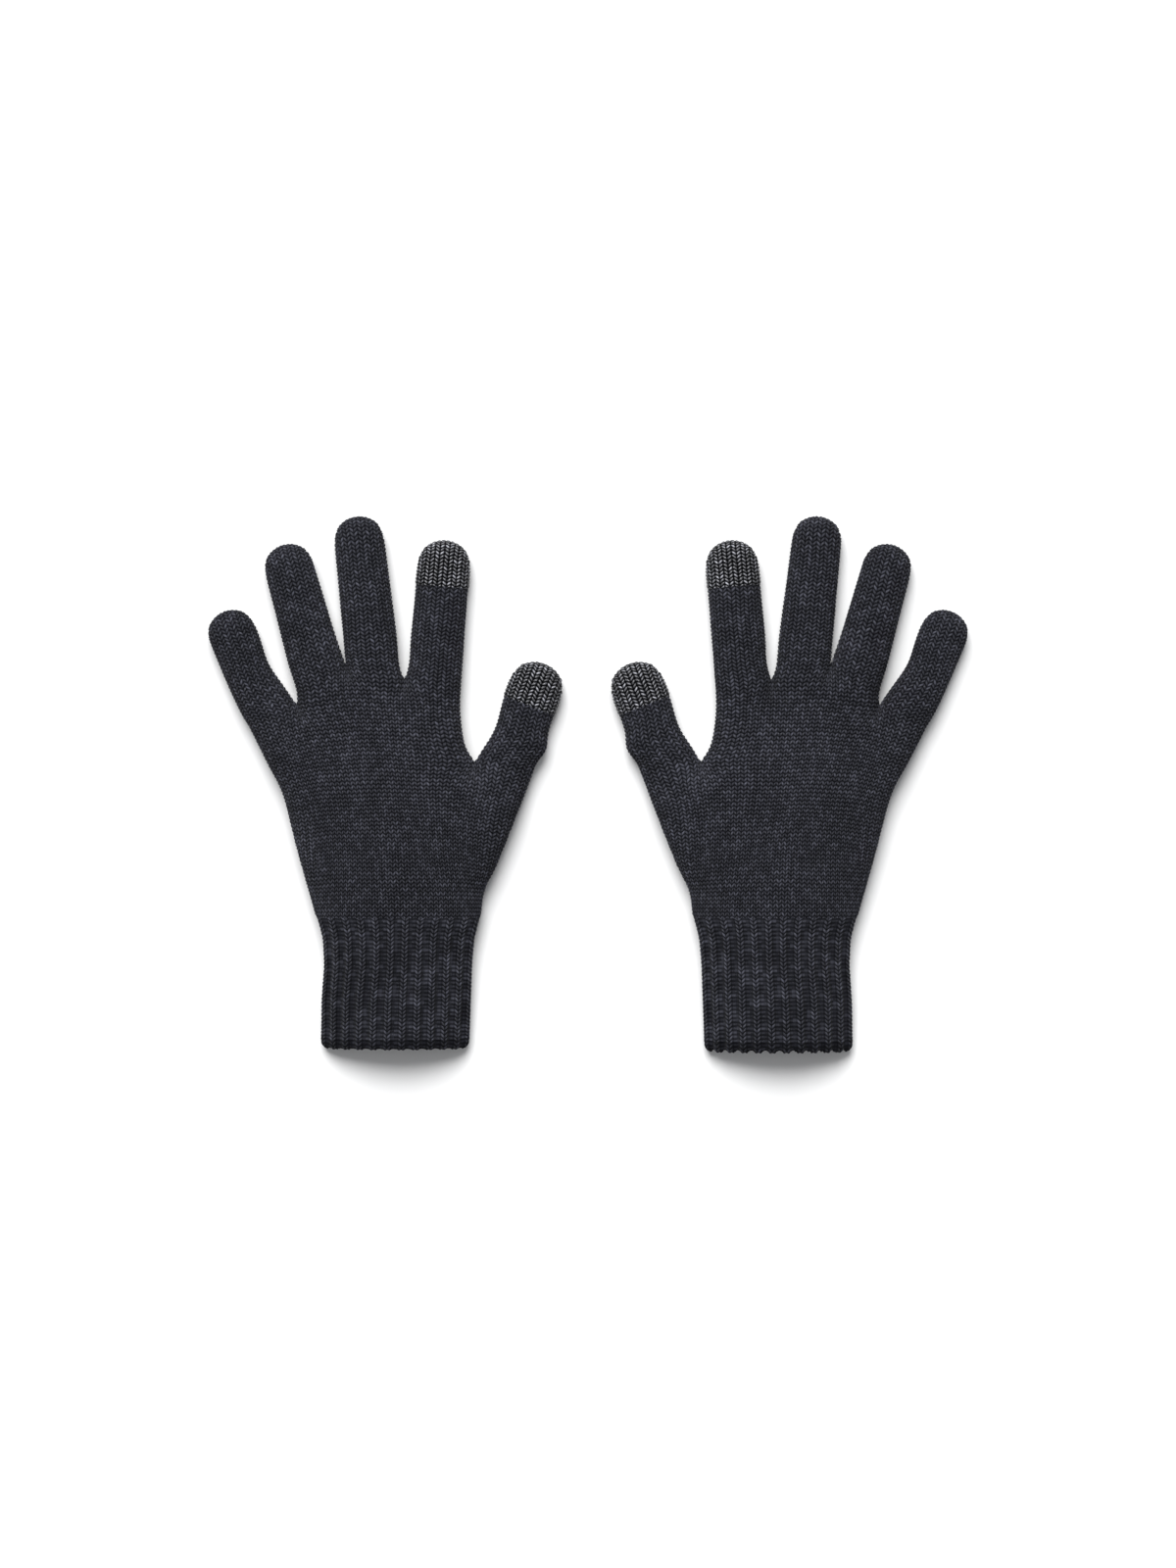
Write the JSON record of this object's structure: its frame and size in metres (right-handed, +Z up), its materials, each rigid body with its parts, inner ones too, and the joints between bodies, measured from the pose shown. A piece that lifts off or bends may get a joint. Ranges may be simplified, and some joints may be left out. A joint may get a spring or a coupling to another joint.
{
  "type": "pair of touchscreen gloves",
  "caption": "Pair of seamless knitted gloves lying palm up, with ribbed cuffs and touchscreen yarn at the tips of the thumbs and forefingers.",
  "frame": {"origin": "middle of the pair's base, on the surface that the gloves lie on", "axes": "+X from the right-hand glove to the left-hand glove, +Y from the cuffs to the fingertips, +Z up, out of the palms"},
  "size_m": [0.3402, 0.2398, 0.021],
  "materials": {
    "plain_knit": "matt dark navy-black knit",
    "rib_knit": "matt dark navy-black rib",
    "hem_knit": "matt dark navy-black rolled hem",
    "elastic_yarn": "smooth black covered elastic",
    "touch_yarn": "silvery grey conductive yarn, slightly shiny"
  },
  "bodies": {
    "right_hand": {"right_palm": "plain_knit"},
    "right_cuff": {"right_cuff_rib": "rib_knit", "right_cuff_hem": "hem_knit", "right_cuff_elastic": "elastic_yarn"},
    "right_little_lower": {"right_little_lower": "plain_knit"},
    "right_little_upper": {"right_little_upper": "plain_knit"},
    "right_ring_lower": {"right_ring_lower": "plain_knit"},
    "right_ring_upper": {"right_ring_upper": "plain_knit"},
    "right_middle_lower": {"right_middle_lower": "plain_knit"},
    "right_middle_upper": {"right_middle_upper": "plain_knit"},
    "right_index_lower": {"right_index_lower": "plain_knit"},
    "right_index_upper": {"right_index_upper": "plain_knit", "right_index_touch_tip": "touch_yarn"},
    "right_thumb_lower": {"right_thumb_lower": "plain_knit"},
    "right_thumb_upper": {"right_thumb_upper": "plain_knit", "right_thumb_touch_tip": "touch_yarn"},
    "left_hand": {"left_palm": "plain_knit"},
    "left_cuff": {"left_cuff_rib": "rib_knit", "left_cuff_hem": "hem_knit", "left_cuff_elastic": "elastic_yarn"},
    "left_little_lower": {"left_little_lower": "plain_knit"},
    "left_little_upper": {"left_little_upper": "plain_knit"},
    "left_ring_lower": {"left_ring_lower": "plain_knit"},
    "left_ring_upper": {"left_ring_upper": "plain_knit"},
    "left_middle_lower": {"left_middle_lower": "plain_knit"},
    "left_middle_upper": {"left_middle_upper": "plain_knit"},
    "left_index_lower": {"left_index_lower": "plain_knit"},
    "left_index_upper": {"left_index_upper": "plain_knit", "left_index_touch_tip": "touch_yarn"},
    "left_thumb_lower": {"left_thumb_lower": "plain_knit"},
    "left_thumb_upper": {"left_thumb_upper": "plain_knit", "left_thumb_touch_tip": "touch_yarn"}
  },
  "joints": [
    {"name": "right_wrist_bend", "type": "hinge", "parent": "right_hand", "child": "right_cuff", "pos_m": [-0.0852, -0.06, 0.009], "axis": [-1, 0, 0], "range_deg": [-45, 45]},
    {"name": "right_little_base_bend", "type": "hinge", "parent": "right_hand", "child": "right_little_lower", "pos_m": [-0.1443, 0.0331, 0.01], "axis": [0.9114, 0.4115, 0], "range_deg": [0, 80]},
    {"name": "right_little_middle_bend", "type": "hinge", "parent": "right_little_lower", "child": "right_little_upper", "pos_m": [-0.15376, 0.05406, 0.0095], "axis": [0.9114, 0.4115, 0], "range_deg": [0, 88]},
    {"name": "right_ring_base_bend", "type": "hinge", "parent": "right_hand", "child": "right_ring_lower", "pos_m": [-0.1219, 0.0529, 0.01], "axis": [0.9632, 0.2689, 0], "range_deg": [0, 80]},
    {"name": "right_ring_middle_bend", "type": "hinge", "parent": "right_ring_lower", "child": "right_ring_upper", "pos_m": [-0.12943, 0.07987, 0.0095], "axis": [0.9632, 0.2689, 0], "range_deg": [0, 88]},
    {"name": "right_middle_base_bend", "type": "hinge", "parent": "right_hand", "child": "right_middle_lower", "pos_m": [-0.097, 0.0577, 0.01], "axis": [0.9938, 0.1115, 0], "range_deg": [0, 80]},
    {"name": "right_middle_middle_bend", "type": "hinge", "parent": "right_middle_lower", "child": "right_middle_upper", "pos_m": [-0.10046, 0.08851, 0.0095], "axis": [0.9938, 0.1115, 0], "range_deg": [0, 88]},
    {"name": "right_index_base_bend", "type": "hinge", "parent": "right_hand", "child": "right_index_lower", "pos_m": [-0.06905, 0.0491, 0.01], "axis": [0.9962, -0.0872, 0], "range_deg": [0, 80]},
    {"name": "right_index_middle_bend", "type": "hinge", "parent": "right_index_lower", "child": "right_index_upper", "pos_m": [-0.0667, 0.076, 0.0095], "axis": [0.9962, -0.0872, 0], "range_deg": [0, 88]},
    {"name": "right_thumb_base_bend", "type": "hinge", "parent": "right_hand", "child": "right_thumb_lower", "pos_m": [-0.0375, 0.0084, 0.01], "axis": [0.9311, -0.3649, 0], "range_deg": [0, 50]},
    {"name": "right_thumb_middle_bend", "type": "hinge", "parent": "right_thumb_lower", "child": "right_thumb_upper", "pos_m": [-0.03177, 0.02302, 0.0095], "axis": [0.9311, -0.3649, 0], "range_deg": [0, 60]},
    {"name": "left_wrist_bend", "type": "hinge", "parent": "left_hand", "child": "left_cuff", "pos_m": [0.0852, -0.06, 0.009], "axis": [-1, 0, 0], "range_deg": [-45, 45]},
    {"name": "left_little_base_bend", "type": "hinge", "parent": "left_hand", "child": "left_little_lower", "pos_m": [0.1443, 0.0331, 0.01], "axis": [0.9114, -0.4115, 0], "range_deg": [0, 80]},
    {"name": "left_little_middle_bend", "type": "hinge", "parent": "left_little_lower", "child": "left_little_upper", "pos_m": [0.15376, 0.05406, 0.0095], "axis": [0.9114, -0.4115, 0], "range_deg": [0, 88]},
    {"name": "left_ring_base_bend", "type": "hinge", "parent": "left_hand", "child": "left_ring_lower", "pos_m": [0.1219, 0.0529, 0.01], "axis": [0.9632, -0.2689, 0], "range_deg": [0, 80]},
    {"name": "left_ring_middle_bend", "type": "hinge", "parent": "left_ring_lower", "child": "left_ring_upper", "pos_m": [0.12943, 0.07987, 0.0095], "axis": [0.9632, -0.2689, 0], "range_deg": [0, 88]},
    {"name": "left_middle_base_bend", "type": "hinge", "parent": "left_hand", "child": "left_middle_lower", "pos_m": [0.097, 0.0577, 0.01], "axis": [0.9938, -0.1115, 0], "range_deg": [0, 80]},
    {"name": "left_middle_middle_bend", "type": "hinge", "parent": "left_middle_lower", "child": "left_middle_upper", "pos_m": [0.10046, 0.08851, 0.0095], "axis": [0.9938, -0.1115, 0], "range_deg": [0, 88]},
    {"name": "left_index_base_bend", "type": "hinge", "parent": "left_hand", "child": "left_index_lower", "pos_m": [0.06905, 0.0491, 0.01], "axis": [0.9962, 0.0872, 0], "range_deg": [0, 80]},
    {"name": "left_index_middle_bend", "type": "hinge", "parent": "left_index_lower", "child": "left_index_upper", "pos_m": [0.0667, 0.076, 0.0095], "axis": [0.9962, 0.0872, 0], "range_deg": [0, 88]},
    {"name": "left_thumb_base_bend", "type": "hinge", "parent": "left_hand", "child": "left_thumb_lower", "pos_m": [0.0375, 0.0084, 0.01], "axis": [0.9311, 0.3649, 0], "range_deg": [0, 50]},
    {"name": "left_thumb_middle_bend", "type": "hinge", "parent": "left_thumb_lower", "child": "left_thumb_upper", "pos_m": [0.03177, 0.02302, 0.0095], "axis": [0.9311, 0.3649, 0], "range_deg": [0, 60]},
    {"name": "left_glove_apart", "type": "slide", "parent": "right_hand", "child": "left_hand", "axis": [1, 0, 0], "range_m": [0, 0.15]}
  ],
  "couplings": [
    {"joint": "right_little_middle_bend", "follows": "right_little_base_bend", "ratio": 1.1},
    {"joint": "right_ring_middle_bend", "follows": "right_ring_base_bend", "ratio": 1.1},
    {"joint": "right_middle_middle_bend", "follows": "right_middle_base_bend", "ratio": 1.1},
    {"joint": "right_index_middle_bend", "follows": "right_index_base_bend", "ratio": 1.1},
    {"joint": "right_thumb_middle_bend", "follows": "right_thumb_base_bend", "ratio": 1.2},
    {"joint": "left_little_middle_bend", "follows": "left_little_base_bend", "ratio": 1.1},
    {"joint": "left_ring_middle_bend", "follows": "left_ring_base_bend", "ratio": 1.1},
    {"joint": "left_middle_middle_bend", "follows": "left_middle_base_bend", "ratio": 1.1},
    {"joint": "left_index_middle_bend", "follows": "left_index_base_bend", "ratio": 1.1},
    {"joint": "left_thumb_middle_bend", "follows": "left_thumb_base_bend", "ratio": 1.2}
  ]
}
